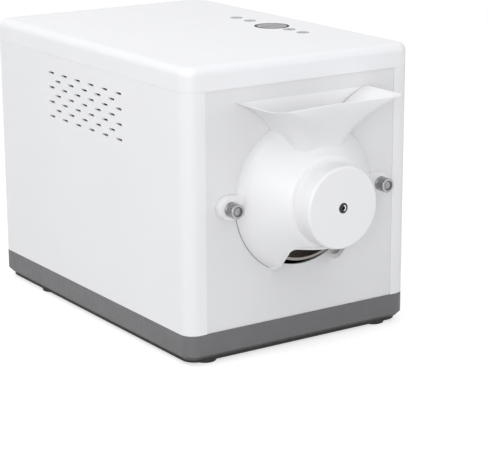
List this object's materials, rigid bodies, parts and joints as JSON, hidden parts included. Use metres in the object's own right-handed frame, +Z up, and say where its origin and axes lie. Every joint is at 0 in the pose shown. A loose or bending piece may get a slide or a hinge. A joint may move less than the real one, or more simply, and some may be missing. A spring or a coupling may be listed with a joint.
{
  "type": "home coffee bean roaster",
  "caption": "White countertop coffee bean roaster: a box-shaped body on rubber feet, a removable domed front cover with a feed hopper, and a motor-driven horizontal roasting drum.",
  "frame": {"origin": "centre of the bounding box's footprint, on the plane the rubber feet stand on", "axes": "+Z up, -Y towards the front cover with the hopper, +X towards the appliance's left as seen from behind (the right as seen from the front)"},
  "size_m": [0.25, 0.4244, 0.2732],
  "materials": {
    "base_plastic": "fine satin grain, dark grey",
    "foot_rubber": "smooth black rubber",
    "screw_steel": "bright zinc plated",
    "white_sheet": "white satin powder coat",
    "white_cover": "glossy white",
    "white_moulding": "soft gloss white moulding",
    "display_gloss": "polished black window",
    "key_lens": "translucent grey rings",
    "circuit_board": "green solder mask",
    "black_plastic": "moulded black",
    "brass": "turned",
    "frame_steel": "zinc plated sheet",
    "drum_steel": "stainless, heat toned",
    "insulation": "woven glass fibre blanket",
    "heater_sheath": "dull oxidised sheath",
    "knob_steel": "turned and knurled stainless",
    "black_oxide": "blackened socket head"
  },
  "bodies": {
    "body": {"base_tray": "base_plastic", "board_components": "black_plastic", "board_standoffs": "frame_steel", "control_board": "circuit_board", "display_module": "black_plastic", "display_window": "display_gloss", "fan_frame": "black_plastic", "foot_front_left": "foot_rubber", "foot_front_right": "foot_rubber", "foot_rear_left": "foot_rubber", "foot_rear_right": "foot_rubber", "foot_screws": "screw_steel", "front_frame": "frame_steel", "front_panel": "white_sheet", "gear_motor": "frame_steel", "heater_clips": "frame_steel", "heater_left": "heater_sheath", "heater_right": "heater_sheath", "inlet_pins": "brass", "insulation_wrap": "insulation", "motor_bracket": "frame_steel", "power_board": "circuit_board", "power_inlet": "black_plastic", "rear_bearing": "frame_steel", "rear_frame": "frame_steel", "rear_panel": "white_sheet", "rear_screws": "screw_steel", "roasting_chamber": "drum_steel", "side_panel_left": "white_sheet", "side_panel_right": "white_sheet", "temperature_probe": "drum_steel", "thumb_nuts": "frame_steel", "top_cover": "white_cover", "touch_keys": "key_lens", "touch_sensors": "black_plastic"},
    "front_cover": {"front_cover": "white_moulding", "bearing_cap": "white_moulding", "cap_screw": "black_oxide", "front_bush": "brass", "feed_chute": "drum_steel"},
    "thumb_left_run": {"thumb_washer_left": "screw_steel"},
    "thumb_left": {"thumb_screw_left": "knob_steel"},
    "thumb_right_run": {"thumb_washer_right": "screw_steel"},
    "thumb_right": {"thumb_screw_right": "knob_steel"},
    "drum": {"drum_shell": "drum_steel", "drum_back_plate": "drum_steel", "drum_flights": "drum_steel", "drum_spider": "drum_steel", "drum_front_shaft": "drum_steel", "drum_rear_shaft": "drum_steel", "drum_gear": "frame_steel"},
    "drum_drive": {"motor_pinion": "frame_steel", "motor_shaft": "frame_steel"},
    "cooling_fan": {"fan_impeller": "black_plastic"}
  },
  "joints": [
    {"name": "cover_slide", "type": "slide", "parent": "body", "child": "front_cover", "axis": [0, -1, 0], "range_m": [0, 0.12]},
    {"name": "thumb_left_back_out", "type": "slide", "parent": "front_cover", "child": "thumb_left_run", "axis": [0, -1, 0], "range_m": [0, 0.0041]},
    {"name": "thumb_left_turn", "type": "hinge", "parent": "thumb_left_run", "child": "thumb_left", "pos_m": [-0.0842, -0.159, 0.145], "axis": [0, -1, 0], "range_deg": [0, 1800]},
    {"name": "thumb_right_back_out", "type": "slide", "parent": "front_cover", "child": "thumb_right_run", "axis": [0, -1, 0], "range_m": [0, 0.0041]},
    {"name": "thumb_right_turn", "type": "hinge", "parent": "thumb_right_run", "child": "thumb_right", "pos_m": [0.0842, -0.159, 0.145], "axis": [0, -1, 0], "range_deg": [0, 1800]},
    {"name": "drum_spin", "type": "hinge", "parent": "body", "child": "drum", "pos_m": [0, 0, 0.145], "axis": [0, 1, 0], "continuous": true},
    {"name": "pinion_spin", "type": "hinge", "parent": "body", "child": "drum_drive", "pos_m": [0, 0.1, 0.106], "axis": [0, 1, 0], "continuous": true},
    {"name": "fan_spin", "type": "hinge", "parent": "body", "child": "cooling_fan", "pos_m": [0, 0.19, 0.185], "axis": [0, 1, 0], "continuous": true}
  ],
  "couplings": [
    {"joint": "thumb_left_back_out", "follows": "thumb_left_turn", "m_per_rad": 0.00012732},
    {"joint": "thumb_right_back_out", "follows": "thumb_right_turn", "m_per_rad": 0.00012732},
    {"joint": "pinion_spin", "follows": "drum_spin", "ratio": -3.3333}
  ]
}
